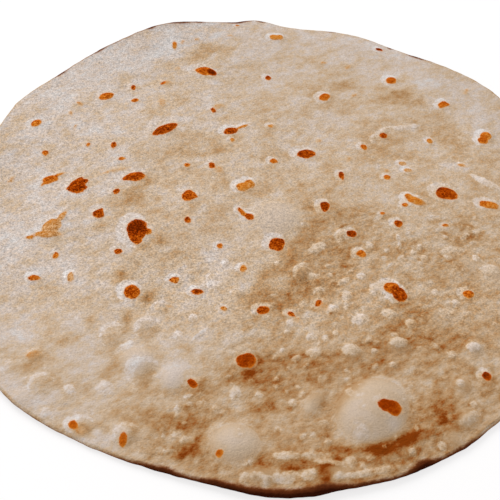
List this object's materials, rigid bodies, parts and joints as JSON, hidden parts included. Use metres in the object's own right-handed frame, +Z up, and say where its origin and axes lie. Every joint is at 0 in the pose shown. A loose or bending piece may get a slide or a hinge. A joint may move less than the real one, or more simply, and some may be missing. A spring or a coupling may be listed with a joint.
{
  "type": "chapati flatbread",
  "caption": "Round unleavened wholemeal flatbread with puffed bubbles and small browned blisters, lying flat on its underside.",
  "frame": {"origin": "middle of the flat underside, on the surface the bread lies on", "axes": "+Z up out of the bread's top face; the biggest bubble is towards -Y and a little +X"},
  "size_m": [0.1774, 0.1814, 0.0048],
  "materials": {
    "crust": "dry matt floury bread crust, pale with orange-brown toasted blisters"
  },
  "bodies": {
    "root": {"chapati": "crust"}
  },
  "joints": []
}
